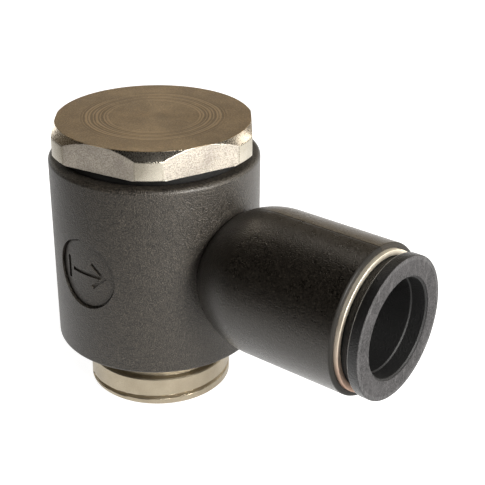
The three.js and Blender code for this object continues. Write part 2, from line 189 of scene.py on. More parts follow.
def combine(base, tool, operation):
    modifier = base.modifiers.new("combine", "BOOLEAN")
    modifier.operation = operation
    modifier.solver = "EXACT"
    modifier.object = tool
    depsgraph = bpy.context.evaluated_depsgraph_get()
    mesh = bpy.data.meshes.new_from_object(base.evaluated_get(depsgraph))
    base.modifiers.clear()
    base.data = mesh
    bpy.data.objects.remove(tool)
    return base


def prism(points, low, high, move=None):
    bm = bmesh.new()
    face = bm.faces.new([bm.verts.new((x, y, low)) for x, y in points])
    grown = bmesh.ops.extrude_face_region(bm, geom=[face])["geom"]
    moved = [item for item in grown if isinstance(item, bmesh.types.BMVert)]
    bmesh.ops.translate(bm, verts=moved, vec=(0, 0, high - low))
    bmesh.ops.recalc_face_normals(bm, faces=bm.faces)
    if move:
        bm.transform(move)
    return bm


def circlePoints(radius, count, turn=0.0):
    spots = [turn + 2 * pi * k / count for k in range(count)]
    return [(radius * cos(a), radius * sin(a)) for a in spots]


def finishPiece(made, node, material, sharp=30):
    bm = bmesh.new()
    bm.from_mesh(made.data)
    bmesh.ops.remove_doubles(bm, verts=bm.verts, dist=2e-4)
    bmesh.ops.dissolve_degenerate(bm, edges=bm.edges, dist=1e-4)
    for edge in bm.edges:
        edge.smooth = len(edge.link_faces) == 2 and edge.calc_face_angle() < radians(sharp)
    for face in bm.faces:
        face.smooth = True
    bm.transform(Matrix.Scale(mm, 4))
    bm.to_mesh(made.data)
    bm.free()
    made.data.materials.clear()
    made.data.materials.append(material)
    weighted = made.modifiers.new("even shading", "WEIGHTED_NORMAL")
    weighted.keep_sharp = True
    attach(made, bodyOf[node])
    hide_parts(node)
    return made


def turnedPiece(name, node, outline, material, steps=192, move=None):
    finishPiece(asObject(spunMesh(outline, steps, move=move), name), node, material)


def span(node):
    low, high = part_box(node)
    return low / mm, high / mm


def ringOutline(centre, height, radius):
    return [(centre + x, height + z) for x, z in circlePoints(radius, 24)]


bodyOf = {node: body for body, nodes in frame["record"]["behaviour"]["bodies"].items() for node in nodes}

bodyLow, bodyHigh = span("valve_body")
boltLow, boltHigh = span("banjo_bolt")
sleeveLow, sleeveHigh = span("cartridge_sleeve")
collarLow, collarHigh = span("release_collar")
bodyRadius = bodyHigh.y
barrelAxis = (sleeveLow.z + sleeveHigh.z) / 2
sleeveRadius = (sleeveHigh.z - sleeveLow.z) / 2
alongBarrel = Matrix.Translation((0, 0, barrelAxis)) @ Matrix.Rotation(pi / 2, 4, "Y")


# camera, light and floor

view = {"azimuth": -51.434, "elevation": 26.047, "roll": 0.406, "distance": 10.797,
        "aimHeight": 1.2, "right": 0.834, "up": -0.289, "lens": 82.54}    # degrees, and body radii

# the floor's glow is painted light: a pool brighter on the right, as from a window there, with painted shade
# at the back left
room = {"floorRadius": 1.2, "floorGap": 0.02,
        "floorLight": (0.34, 0.34, 0.34), "floorDark": (0.30, 0.30, 0.30),
        "dimSide": -110, "dimReach": (20, 62), "dimGlow": (0.17, 0.16, 0.15),
        "brightSide": 5, "brightReach": (6, 50), "brightGlow": (1.35, 1.34, 1.32),
        "floorGlow": (0.95, 0.95, 0.95), "wallStrength": 0.9,
        "upwards": [(0.0, (1.0, 0.98, 0.96)), (0.12, (0.85, 0.81, 0.76)), (0.24, (0.40, 0.33, 0.24)),
                    (0.5, (0.32, 0.26, 0.18)), (0.66, (0.10, 0.082, 0.06)), (0.8, (0.028, 0.022, 0.016)),
                    (1.0, (0.02, 0.018, 0.016))],
        "acrossWall": [(0.2, (0.12, 0.12, 0.12)), (0.7, (1.0, 1.0, 1.0))],
        # azimuth, elevation, distance, size, power, colour
        "lights": {"rearSoftbox": (140, 60, 0.30, (0.07, 0.05), 0.06, (1.0, 0.94, 0.86)),
                   "rightWindow": (-6, 27, 0.30, (0.13, 0.13), 2.5, (1.0, 0.985, 0.96)),
                   "backRight": (74, 24, 0.30, (0.09, 0.10), 0.14, (1.0, 0.95, 0.85)),
                   "backLeft": (166, 10, 0.34, (0.06, 0.04), 0.05, (1.0, 0.96, 0.88))}}


def addCamera():
    azimuth, elevation = radians(view["azimuth"]), radians(view["elevation"])
    back = Vector((cos(azimuth) * cos(elevation), sin(azimuth) * cos(elevation), sin(elevation)))
    right = (-back).cross(Vector((0, 0, 1))).normalized()
    up = right.cross(-back)
    turned = Matrix((right, up, back)).transposed().to_4x4()
    turned = turned @ Matrix.Rotation(radians(view["roll"]), 4, "Z")
    rightAxis, upAxis = turned.col[0].xyz, turned.col[1].xyz
    unit = bodyRadius * mm
    place = Vector((0, 0, view["aimHeight"])) + back * view["distance"]
    place += rightAxis * view["right"] + upAxis * view["up"]
    data = bpy.data.cameras.new("camera")
    data.lens = view["lens"]
    data.sensor_width = 36
    data.clip_start = 0.005
    camera = bpy.data.objects.new("camera", data)
    scene.collection.objects.link(camera)
    camera.matrix_world = Matrix.Translation(place * unit) @ turned
    scene.camera = camera


def addArea(name, azimuth, elevation, distance, size, power, colour):
    a, e = radians(azimuth), radians(elevation)
    aim = Vector((6, 0, 8)) * mm
    spot = aim + Vector((cos(a) * cos(e), sin(a) * cos(e), sin(e))) * distance
    data = bpy.data.lights.new(name, "AREA")
    data.shape = "RECTANGLE"
    data.size, data.size_y = size
    data.energy = power
    data.color = colour
    light = bpy.data.objects.new(name, data)
    scene.collection.objects.link(light)
    light.matrix_world = Matrix.Translation(spot) @ (spot - aim).to_track_quat("Z", "Y").to_matrix().to_4x4()


def addWorld():
    world = bpy.data.worlds.new("softRoom")
    world.use_nodes = True
    nodes, links = world.node_tree.nodes, world.node_tree.links
    parts = nodes.new("ShaderNodeSeparateXYZ")
    links.new(nodes.new("ShaderNodeTexCoord").outputs["Generated"], parts.inputs[0])
    across = nodes.new("ShaderNodeMapRange")
    across.inputs["From Min"].default_value = -1
    links.new(parts.outputs[1], across.inputs["Value"])
    blend = nodes.new("ShaderNodeMix")
    blend.data_type = "RGBA"
    blend.blend_type = "MULTIPLY"
    blend.inputs[0].default_value = 1
    for socket, stops, target in ((parts.outputs[2], room["upwards"], blend.inputs[6]),
                                  (across.outputs[0], room["acrossWall"], blend.inputs[7])):
        ramp = nodes.new("ShaderNodeValToRGB")
        links.new(socket, ramp.inputs[0])
        links.new(ramp.outputs[0], target)
        while len(ramp.color_ramp.elements) < len(stops):
            ramp.color_ramp.elements.new(0.5)
        for element, (at, colour) in zip(ramp.color_ramp.elements, stops):
            element.position = at
            element.color = (*colour, 1)
    links.new(blend.outputs[2], nodes["Background"].inputs[0])
    nodes["Background"].inputs[1].default_value = room["wallStrength"]
    scene.world = world


def addFloor():
    bm = bmesh.new()
    bmesh.ops.create_circle(bm, cap_ends=True, segments=96, radius=room["floorRadius"])
    bm.transform(Matrix.Translation((0, 0, (boltLow.z - room["floorGap"]) * mm)))    # clear of the stud end
    floor = asObject(bm, "floor")
    look = Look("paleFloor")
    x, y = look.axes()[:2]
    near, far = radians(room["dimSide"]), radians(room["brightSide"])
    dim = look.step(x * cos(near) + y * sin(near), *room["dimReach"])
    bright = look.step(x * cos(far) + y * sin(far), *room["brightReach"])
    tone = look.step(look.noise(60, 2), 0.3, 0.7, 0.0, 0.02)
    # painted light: the glow is brighter towards the right and dims to painted shade at the back left
    glow = look.mix(dim, look.mix(bright, room["floorGlow"], room["brightGlow"]), room["dimGlow"])
    floor.data.materials.append(look.finish(
        Base_Color=look.mix(tone, room["floorLight"], room["floorDark"]), Roughness=0.9,
        Emission_Color=glow, Emission_Strength=1.0))


addCamera()
addWorld()
addFloor()
for name, values in room["lights"].items():
    addArea(name, *values)
print("camera, light and floor placed")


# finishes that several pieces share

def plasticLook(name, dark, light, roughness):
    look = Look(name)
    cloud = look.noise(3.0, 3, 0.6)
    grain = look.noise(0.14, 2, 0.6)
    base = look.mix(look.step(cloud * 0.5 + grain * 0.5, 0.35, 0.65), dark, light)
    rough = roughness + 0.12 * grain
    return look.finish(Base_Color=base, Roughness=rough, Normal=look.bump(grain, 0.4, 0.025))


def rubberLook():
    look = Look("blackRubber")
    dust = look.step(look.noise(0.6, 3, 0.7), 0.5, 0.75)
    base = look.mix(dust * 0.5, (0.010, 0.010, 0.010), (0.035, 0.034, 0.032))
    return look.finish(Base_Color=base, Roughness=0.55 + 0.2 * dust,
                       Normal=look.bump(look.noise(0.2, 2), 0.3, 0.02))


def metalLook(name, dark, light, roughness):
    look = Look(name)
    cloud = look.noise(1.8, 3, 0.6)
    lines = look.noise(0.35, 2, 0.6, look.stretch((1, 1, 9)))
    base = look.mix(look.step(cloud, 0.35, 0.65), dark, light)
    rough = roughness + 0.15 * lines
    return look.finish(Base_Color=base, Roughness=rough, Metallic=1.0, Normal=look.bump(lines, 0.25, 0.02))


paleAcetal = plasticLook("paleAcetal", (0.58, 0.55, 0.48), (0.70, 0.67, 0.60), 0.45)
rubber = rubberLook()
brass = metalLook("turnedBrass", (0.52, 0.36, 0.14), (0.72, 0.54, 0.26), 0.25)
steel = metalLook("springSteel", (0.45, 0.45, 0.46), (0.68, 0.68, 0.69), 0.22)
print("shared finishes made")


# body

body = {"topRound": 0.45, "footRound": 0.22, "wall": 2.58, "galleryDepth": 0.75,
        "galleryHeight": 7.0, "pocketDepth": 1.3, "pocketRadius": 8.32, "barrelWall": 0.42,
        "pressGap": 0.05, "shoulderReach": 4.36, "shoulderArc": 7.2, "mouthRound": 0.25,
        "portRadius": 2.75, "tubeStop": 0.86, "tubeBore": 4.1, "emblemRadius": 3.2, "emblemDepth": 0.25,
        "signDepth": 0.15, "emblemEdge": 0.18, "emblemBand": (2, 15), "barrelFade": 4, "crownHeight": (4.5, 6),
        "dark": (0.0005, 0.0004, 0.0003), "light": (0.026, 0.022, 0.0175), "fleck": (0.080, 0.069, 0.054),
        "crownSheen": (0.075, 0.060, 0.040), "mouth": (0.001, 0.001, 0.001)}


def nylonLook():
    look = Look("blackNylon")
    x, y, z = look.axes()
    barrel = look.step(x, bodyRadius, bodyRadius + body["barrelFade"])
    mouth = look.step(x, bodyHigh.x - 0.3, bodyHigh.x - 0.1)
    cloud = look.noise(5.0, 4, 0.6)
    mottle = look.noise(0.45, 3, 0.65)
    grain = look.noise(0.11, 1, 0.5)
    fleck = look.step(look.noise(0.15, 1, 0.4), 0.60, 0.72)
    tone = look.step(grain * 0.7 + mottle * 0.2 + cloud * 0.1, 0.36, 0.64)
    base = look.mix(tone, body["dark"], body["light"])
    base = look.mix(fleck * 0.45, base, body["fleck"])
    # painted shade: the barrel is painted darker than the upright
    base = look.mix(barrel * 0.6, base, body["dark"])
    # painted sheen: a warm brown highlight painted along the back of the barrel's top
    low, high = body["crownHeight"]
    crownSheen = barrel * look.step(z, barrelAxis + low, barrelAxis + high)
    parting = crownSheen * look.step(y.math("ABSOLUTE"), 0.05, 0.12, 1.0, 0.0)    # the mould's parting line
    base = look.mix(crownSheen * look.step(y, -0.1, 0.1) * (0.3 + 0.5 * tone), base, body["crownSheen"])
    base = look.mix(parting, base, body["dark"])
    # painted shade: the barrel's mouth is painted near-black
    base = look.mix(mouth * 0.8, base, body["mouth"])
    rough = 0.33 + 0.12 * mottle + 0.10 * cloud - barrel * (1 - mouth) * 0.15 + mouth * 0.45
    bumps = look.bump((grain * 1.2 + mottle * 0.5) * (1 - barrel * 0.45) - parting, 1.0, 0.055)
    return look.finish(Base_Color=base, Roughness=rough, Normal=bumps, Specular_IOR_Level=0.46,
                       Specular_Tint=(1.0, 0.94, 0.86), Coat_Weight=0.12, Coat_Roughness=0.3)


def barrelOutline(radius, start):
    reach = bodyRadius + body["shoulderReach"]
    points = [(0, start)]
    for k in range(25):
        along = start + (reach - start) * k / 24
        drop = body["shoulderArc"] - (body["shoulderArc"] ** 2 - (reach - along) ** 2) ** 0.5
        points.append((radius - drop, along))
    return points + [(radius, bodyHigh.x, body["mouthRound"]), (0, bodyHigh.x)]


def socketOutline():
    spacerLow = span("seal_spacer")[0]
    sealLow, sealHigh = span("tube_seal")
    sealRadius = (sealHigh.z - sealLow.z) / 2 + 0.04
    socket = sleeveRadius + body["pressGap"]
    boreRadius = bodyRadius - body["wall"]
    port, tubeBore, stop = body["portRadius"], body["tubeBore"], bodyRadius + body["tubeStop"]
    sealStart, spacerStart = sealLow.x - 0.1, spacerLow.x - 0.05
    return [(0, boreRadius), (port, boreRadius), (port, stop, 0.1), (tubeBore, stop),
            (tubeBore, sealStart, 0.1), (sealRadius, sealStart), (sealRadius, spacerStart, 0.05),
            (socket, spacerStart), (socket, bodyHigh.x + 1), (0, bodyHigh.x + 1)]


def outwards(points, low, high, name):    # a prism that points out of the body's side
    turn = Matrix.Translation((0, 0, barrelAxis)) @ Matrix.Rotation(pi / 2, 4, "X")
    return asObject(prism(points, low, high, turn), name)


def bodyBand(inner, outer, name):
    low, high = body["emblemBand"]
    return asObject(spunMesh([(inner, low), (outer, low), (outer, high), (inner, high)], 288), name)


def flowSign(low, high):
    # a plain arrow that points to the outlet, with a bar behind it
    arrow = [(-1.6, -0.17), (1.55, -0.17), (0.6, -1.0), (0.85, -1.25), (2.25, 0.0), (0.85, 1.25), (0.6, 1.0),
             (1.55, 0.17), (-1.6, 0.17)]
    bar = [(-2.3, -1.05), (-1.95, -1.05), (-1.95, 1.05), (-2.3, 1.05)]
    pieces = [outwards(shape, low, high, "sign") for shape in (arrow, bar)]
    edge = outwards(circlePoints(body["emblemRadius"], 96), low, high, "edge")
    inner = circlePoints(body["emblemRadius"] - body["emblemEdge"], 96)
    combine(edge, outwards(inner, low - 1, high + 1, "inner"), "DIFFERENCE")
    return combine(combine(*pieces, "UNION"), edge, "UNION")


def makeBody():
    bore = bodyRadius - body["wall"]
    gallery = bore + body["galleryDepth"]
    low = barrelAxis - body["galleryHeight"] / 2
    high = barrelAxis + body["galleryHeight"] / 2
    top = bodyHigh.z
    upright = asObject(spunMesh([
        (body["pocketRadius"], 0, 0.1), (bodyRadius, 0, body["footRound"]),
        (bodyRadius, top, body["topRound"]), (bore, top, 0.15),
        (bore, high), (gallery, high), (gallery, low), (bore, low),
        (bore, body["pocketDepth"], 0.1), (body["pocketRadius"], body["pocketDepth"]),
    ], 288, 8), "valveBody")
    radius = sleeveRadius + body["pressGap"] + body["barrelWall"]
    barrel = asObject(spunMesh(barrelOutline(radius, gallery + 0.15), 240, 6, alongBarrel), "barrel")
    combine(upright, barrel, "UNION")
    combine(upright, asObject(spunMesh(socketOutline(), 192, 3, alongBarrel), "socket"), "DIFFERENCE")
    floorRadius = bodyRadius - body["emblemDepth"]
    shell = bodyBand(floorRadius, bodyRadius + 1, "shell")
    disc = outwards(circlePoints(body["emblemRadius"], 96), 5, bodyRadius + 2, "disc")
    combine(shell, disc, "INTERSECT")
    combine(upright, shell, "DIFFERENCE")
    mark = bodyBand(floorRadius - body["signDepth"], bodyRadius, "mark")
    combine(mark, flowSign(5, bodyRadius + 2), "INTERSECT")
    combine(upright, mark, "DIFFERENCE")
    finishPiece(upright, "valve_body", nylonLook(), sharp=28)


makeBody()
print("body made")


# bolt

bolt = {"hexFlats": 17.0, "hexTurn": 10, "hexHeight": 2.4, "cornerCut": 0.57, "chamfer": 0.7,
        "crest": 6.58, "pitch": 1.337, "grooveDepth": 0.35, "grooveWidth": 0.4, "grooveStart": 0.83,
        "grooveTurn": 47, "runOut": -3.4, "endChamfer": 0.2, "neckLength": 2.55, "neck": 5.9, "shank": 6.7,
        "glandWidth": 1.9, "glandBottom": 5.2, "valveBore": 4.3, "valveBoreDepth": 8.8, "clipGroove": 0.45,
        "chamber": 2.5, "chamberTop": 12.0, "crossPort": 1.7,
        "cornerEdge": (9.17, 9.21), "coneEdge": (8.47, 8.51), "rings": (0.31, 0.83), "fineRings": 0.11,
        "ringStart": (3.7, 4.4), "ringEnd": (5.7, 6.6),
        "flatDark": (0.38, 0.345, 0.30), "flatLight": (0.56, 0.515, 0.445), "spot": (0.24, 0.21, 0.175),
        "turnedDark": (0.36, 0.33, 0.27), "turnedLight": (0.47, 0.435, 0.365),
        "studShadeDark": (0.24, 0.20, 0.14), "studShadeLight": (0.46, 0.40, 0.30),
        "faceDark": (0.27, 0.20, 0.112), "faceLight": (0.52, 0.385, 0.225)}

# the washer is black nylon, made darker still as painted shade for the gap under the hex
washer = {"clear": 0.06, "dark": (0.0015, 0.0015, 0.0015), "light": (0.006, 0.0055, 0.005)}


def boltLook():
    look = Look("boltNickel")
    x, y, z = look.axes()
    radius = (x * x + y * y).math("SQRT")
    top = look.step(z, boltHigh.z - 0.05, boltHigh.z - 0.02)
    corner = look.step(radius, *bolt["cornerEdge"]) * look.step(z, boltHigh.z - 2.5, boltHigh.z - 2.3)
    cone = look.step(radius + z, *[boltHigh.z + edge for edge in bolt["coneEdge"]]) - top
    cloud = look.noise(2.6, 4, 0.6)
    pits = look.noise(0.13, 3, 0.75)
    spots = look.step(look.noise(0.11, 1, 0.5), 0.42, 0.66)
    wander = look.noise(2.2, 3) * 4
    near, wide = [(radius * (2 * pi / gap) + wander).math("SINE") for gap in bolt["rings"]]
    rings = near * 0.7 + wide * 0.5
    ringZone = look.step(radius, *bolt["ringStart"]) * look.step(radius, *bolt["ringEnd"], 1.0, 0.0)
    ringZone = ringZone * look.step(look.noise(5.5, 1), 0.36, 0.56, 0.25, 1.0)
    fineRings = (radius * (2 * pi / bolt["fineRings"])).math("SINE")
    flat = look.mix(look.step(cloud * 0.6 + pits * 0.4, 0.38, 0.62), bolt["flatDark"], bolt["flatLight"])
    flat = look.mix(spots * 0.6, flat, bolt["spot"])
    bright = look.mix(look.step(cloud, 0.35, 0.65), bolt["turnedDark"], bolt["turnedLight"])
    # painted shade: the stud below the body is painted darker and browner, as in the body's shadow
    stud = look.mix(cloud, bolt["studShadeDark"], bolt["studShadeLight"])
    base = look.mix(look.step(z, -0.5, 0.5, 1.0, 0.0), look.mix(corner, flat, bright), stud)
    faceWear = look.step(cloud * 0.25 + pits * 0.45 + rings * ringZone * 0.30 + fineRings * 0.05, 0.29, 0.44)
    base = look.mix(top, base, look.mix(faceWear, bolt["faceDark"], bolt["faceLight"]))
    turned = corner + cone.math("MAXIMUM", 0)
    rough = 0.24 + 0.20 * pits + 0.05 * cloud - turned * 0.09
    height = pits * (0.9 - turned * 0.6) + spots * 0.7 * (1 - turned)
    height = height + top * (rings * ringZone * 1.1 + fineRings * 0.35)
    return look.finish(Base_Color=base, Roughness=rough, Metallic=1.0, Normal=look.bump(height, 0.45, 0.04))


def washerLook():
    look = Look("washerNylon")
    grain = look.noise(0.2, 3, 0.6)
    base = look.mix(look.step(grain, 0.4, 0.65), washer["dark"], washer["light"])
    return look.finish(Base_Color=base, Roughness=0.5 + 0.3 * grain, Specular_IOR_Level=0.22,
                       Normal=look.bump(grain, 0.6, 0.04))


def headBlank():
    under = boltHigh.z - bolt["hexHeight"]
    corner = bolt["hexFlats"] / 2 / cos(pi / 6) - bolt["cornerCut"]
    points = circlePoints(bolt["hexFlats"] / 2 / cos(pi / 6), 6, radians(bolt["hexTurn"]))
    head = asObject(prism(points, under, boltHigh.z), "head")
    blank = asObject(spunMesh([
        (0, under), (corner - 0.12, under), (corner, under + 0.12),
        (corner, boltHigh.z - bolt["chamfer"], 0.08), (corner - bolt["chamfer"], boltHigh.z, 0.12),
        (0, boltHigh.z),
    ], 288, 3), "blank")
    return combine(head, blank, "INTERSECT")


def grooveDrop(height, turn):
    phase = (height - boltLow.z - bolt["grooveStart"]) / bolt["pitch"]
    phase -= (turn + radians(bolt["grooveTurn"])) / (2 * pi)
    away = abs(phase - round(phase)) * bolt["pitch"]
    fade = min(1, max(0, (bolt["runOut"] - height) / 0.6))    # the groove runs out below the neck
    return fade * bolt["grooveDepth"] * max(0, 1 - away / (bolt["grooveWidth"] / 2))


def studOutline():
    lowRingLow, lowRingHigh = span("lower_o_ring")
    topRingLow, topRingHigh = span("upper_o_ring")
    clipLow, clipHigh = span("retaining_clip")
    half = bolt["glandWidth"] / 2
    lowMid, topMid = (lowRingLow.z + lowRingHigh.z) / 2, (topRingLow.z + topRingHigh.z) / 2
    end = boltLow.z
    crestLow, crestHigh = end + bolt["endChamfer"], -bolt["neckLength"]
    rows = 36
    crest = [(bolt["crest"], crestLow + (crestHigh - crestLow) * k / rows) for k in range(rows + 1)]
    boreTop = bolt["valveBoreDepth"] + end
    shank, gland, bore = bolt["shank"], bolt["glandBottom"], bolt["valveBore"]
    clipRadius = bore + bolt["clipGroove"]
    chamber, top = bolt["chamber"], boltHigh.z - 1.2
    return ([(0, bolt["chamberTop"]), (chamber, bolt["chamberTop"] - 1.25, 0.2), (chamber, boreTop, 0.1),
             (bore, boreTop), (bore, clipHigh.z + 0.05), (clipRadius, clipHigh.z + 0.05),
             (clipRadius, clipLow.z - 0.05), (bore, clipLow.z - 0.05), (bore, end, 0.12),
             (bolt["crest"] - bolt["endChamfer"], end, 0.05)]
            + crest
            + [(bolt["crest"] - 0.12, crestHigh + 0.1), (bolt["neck"], crestHigh + 0.12, 0.1),
               (bolt["neck"], 0.2),
               (shank, 0.2, 0.08), (shank, lowMid - half, 0.06), (gland, lowMid - half),
               (gland, lowMid + half),
               (shank, lowMid + half, 0.06), (shank, topMid - half, 0.06), (gland, topMid - half),
               (gland, topMid + half), (shank, topMid + half, 0.06), (shank, top), (0, top)])


def makeBolt():
    bm = spunMesh(studOutline(), 288, 3)
    for vert in bm.verts:
        radius = hypot(vert.co.x, vert.co.y)
        if abs(radius - bolt["crest"]) < 1e-3 and vert.co.z < -bolt["neckLength"] + 1e-3:
            scale = 1 - grooveDrop(vert.co.z, atan2(vert.co.y, vert.co.x)) / radius
            vert.co.x *= scale
            vert.co.y *= scale
    stud = asObject(bm, "banjoBolt")
    combine(stud, headBlank(), "UNION")
    for k in range(4):
        turn = Matrix.Rotation(k * pi / 2, 4, "Z") @ alongBarrel
        hole = asObject(prism(circlePoints(bolt["crossPort"], 64), 0.5, bolt["shank"] + 1, turn), "hole")
        combine(stud, hole, "DIFFERENCE")
    finishPiece(stud, "banjo_bolt", boltLook(), sharp=20)


def makeWasher():
    low, high = span("thrust_washer")
    inner = bolt["shank"] + washer["clear"]
    turnedPiece("thrustWasher", "thrust_washer", [
        (inner, low.z, 0.04), (high.x, low.z, 0.1), (high.x, high.z, 0.1), (inner, high.z, 0.04),
    ], washerLook())


makeBolt()
makeWasher()
print("bolt and washer made")


# push-in cartridge

sleeve = {"wall": 0.5, "lipWall": 0.85, "mouth": 1.75, "lip": 1.0, "low": (0.42, 0.27, 0.20),
          "high": (0.80, 0.74, 0.62), "stain": (0.58, 0.48, 0.39)}

collar = {"bore": 4.1, "skirt": 5.0, "neck": 5.44, "bead": 5.4, "flange": 0.95, "travel": 0.8,
          "noseWall": 0.6, "beadLength": 0.7, "mouthBore": 4.22, "mouthDepth": 1.5, "rimHighlightEdge": (5.93, 5.99),
          "sideDark": (0.003, 0.003, 0.003), "sideLight": (0.010, 0.010, 0.010), "rim": (0.45, 0.44, 0.43),
          "inside": (0.0015, 0.0015, 0.0015), "litFaceDark": (0.006, 0.0057, 0.0057),
          "litFaceLight": (0.034, 0.032, 0.033), "scuff": (0.06, 0.057, 0.058)}

tubeSeal = {"inner": 3.95, "edge": 0.35, "lip": 0.25, "lipDepth": 0.6}
spacer = {"bore": 4.25, "wall": 0.65}
gripRing = {"thick": 0.35, "rim": 1.05, "tooth": 3.9, "teeth": 10, "slot": 0.25, "slotStart": 2.0}


def sleeveLook():
    look = Look("sleeveNickel")
    z = look.axes()[2]
    # painted light and shade: the sleeve is painted pale at the top and dark brown towards the bottom
    height = look.step(z, barrelAxis - 4.5, barrelAxis + 3.5)
    cloud = look.noise(1.6, 3, 0.6)
    lines = look.noise(0.3, 2, 0.6, look.stretch((6, 1, 1)))
    tint = look.mix(height, sleeve["low"], sleeve["high"])
    base = look.mix(look.step(cloud, 0.35, 0.7) * 0.3, tint, sleeve["stain"])
    return look.finish(Base_Color=base, Roughness=0.48 + 0.2 * lines, Metallic=1.0,
                       Normal=look.bump(lines, 0.3, 0.02))


def collarLook():
    look = Look("greyAcetal")
    x, y, z = look.axes()
    face = look.step(x, collarHigh.x - 0.1, collarHigh.x - 0.02)
    cloud = look.noise(2.6, 3, 0.6)
    grain = look.noise(0.15, 2, 0.6)
    scuff = look.step(look.noise(0.5, 3, 0.7, look.stretch((1, 1, 0.35))), 0.5, 0.72)
    radius = (y * y + (z - barrelAxis) * (z - barrelAxis)).math("SQRT")
    back = collarHigh.x - collar["flange"]
    # painted highlight: a thin bright line along the flange's back edge
    rim = look.step((x - back).math("ABSOLUTE"), 0.06, 0.14, 1.0, 0.0) * look.step(radius, *collar["rimHighlightEdge"])
    coarse = look.noise(0.3, 3, 0.7)
    # painted shade: the bore is painted near-black
    inside = look.step(radius, collar["mouthBore"] + 0.02, collar["mouthBore"] + 0.1, 1.0, 0.0)
    neck = look.step(radius, collar["neck"] + 0.2, collar["neck"] + 0.3, 1.0, 0.0)
    side = look.mix(cloud, collar["sideDark"], collar["sideLight"])
    side = look.mix(rim * 0.9, side, collar["rim"])
    side = look.mix(inside, side, collar["inside"])
    mottle = look.step(cloud * 0.2 + grain * 0.4 + coarse * 0.4, 0.38, 0.62)
    # painted light: the end face is painted lighter than the near-black side, as if lit from the right; the
    # scuffs on it are wear
    end = look.mix(mottle, collar["litFaceDark"], collar["litFaceLight"])
    end = look.mix(scuff * 0.7, end, collar["scuff"])
    rough = 0.23 + 0.14 * grain + face * (0.14 + 0.16 * coarse) + inside * 0.3 + neck * (1 - inside) * 0.3
    bumps = look.bump(grain + (scuff + coarse * 1.5) * face, 1.0, 0.06)
    return look.finish(Base_Color=look.mix(face * (1 - inside), side, end), Roughness=rough,
                       Specular_IOR_Level=0.36, Normal=bumps)


def makeSleeve():
    outer, inner = sleeveRadius, sleeveRadius - sleeve["wall"]
    lip = sleeveRadius - sleeve["lipWall"]
    end = sleeveHigh.x
    lipEnd = end - sleeve["mouth"]
    lipStart = lipEnd - sleeve["lip"]
    turnedPiece("cartridgeSleeve", "cartridge_sleeve", [
        (inner, sleeveLow.x, 0.05), (outer, sleeveLow.x, 0.1), (outer, end, 0.05), (inner, end, 0.08),
        (inner, lipEnd), (lip, lipEnd, 0.06), (lip, lipStart, 0.06), (inner, lipStart),
    ], sleeveLook(), move=alongBarrel)


def makeCollar():
    face = collarHigh.x
    outer = (collarHigh.z - collarLow.z) / 2
    bore, back = collar["bore"], collarHigh.x - collar["flange"]
    bead, skirt, neck = collar["bead"], collar["skirt"], collar["neck"]
    neckStart = sleeveHigh.x - sleeve["mouth"] + 0.05 + collar["travel"]
    beadEnd = sleeveHigh.x - sleeve["mouth"] - sleeve["lip"] - 0.05
    beadStart = beadEnd - collar["beadLength"]
    mouthBore, step = collar["mouthBore"], face - collar["mouthDepth"]
    turnedPiece("releaseCollar", "release_collar", [
        (bore, collarLow.x, 0.1), (bore + collar["noseWall"], collarLow.x, 0.1),
        (bead, beadStart, 0.1), (bead, beadEnd, 0.1), (skirt, beadEnd, 0.05), (skirt, neckStart, 0.05),
        (neck, neckStart, 0.05), (neck, back, 0.08), (outer, back, 0.14),
        (outer, face, 0.12), (mouthBore + 0.2, face, 0.05), (mouthBore, face - 0.2, 0.05),
        (mouthBore, step + 0.1, 0.04), (bore, step, 0.05),
    ], collarLook(), move=alongBarrel)


def makeSealAndSpacer():
    low, high = span("tube_seal")
    outer, inner = (high.z - low.z) / 2, tubeSeal["inner"]
    edge, lip = tubeSeal["edge"], tubeSeal["lip"]
    middle = (inner + outer) / 2
    turnedPiece("tubeSeal", "tube_seal", [
        (inner, low.x + edge, 0.15), (inner + edge, low.x, 0.15), (outer - edge, low.x, 0.15),
        (outer, low.x + edge, 0.15), (outer, high.x, 0.1), (middle + lip, high.x, 0.1),
        (middle, high.x - tubeSeal["lipDepth"], 0.1), (middle - lip, high.x, 0.1), (inner, high.x, 0.1),
    ], rubber, move=alongBarrel)
    low, high = span("seal_spacer")
    outer, bore, wall = (high.z - low.z) / 2, spacer["bore"], spacer["wall"]
    turnedPiece("sealSpacer", "seal_spacer", [
        (bore, low.x, 0.08), (outer, low.x, 0.12), (outer, high.x, 0.08), (outer - wall, high.x, 0.08),
        (outer - wall, low.x + wall, 0.1), (bore, low.x + wall, 0.08),
    ], paleAcetal, move=alongBarrel)


def makeGripRing():
    low, high = span("grip_ring")
    outer, thick, tooth = (high.z - low.z) / 2, gripRing["thick"], gripRing["tooth"]
    rim = outer - gripRing["rim"]
    lean = high.x - thick - low.x
    ring = asObject(spunMesh([
        (tooth, low.x, 0.05), (rim, high.x - thick, 0.1), (outer, high.x - thick, 0.05),
        (outer, high.x, 0.05), (rim, high.x, 0.1), (tooth, high.x - lean, 0.02),
    ], 240, 3), "gripRing")
    start, half = gripRing["slotStart"], gripRing["slot"]
    slot = [(start, -half), (rim - 0.1, -half), (rim + 0.1, 0.0), (rim - 0.1, half), (start, half)]
    for k in range(gripRing["teeth"]):
        turn = Matrix.Rotation(2 * pi * k / gripRing["teeth"], 4, "Z")
        combine(ring, asObject(prism(slot, low.x - 1, high.x + 1, turn), "slot"), "DIFFERENCE")
    ring.data.transform(alongBarrel)
    finishPiece(ring, "grip_ring", steel)


makeSleeve()
makeCollar()
makeSealAndSpacer()
makeGripRing()
print("cartridge made")


# seals and check valve

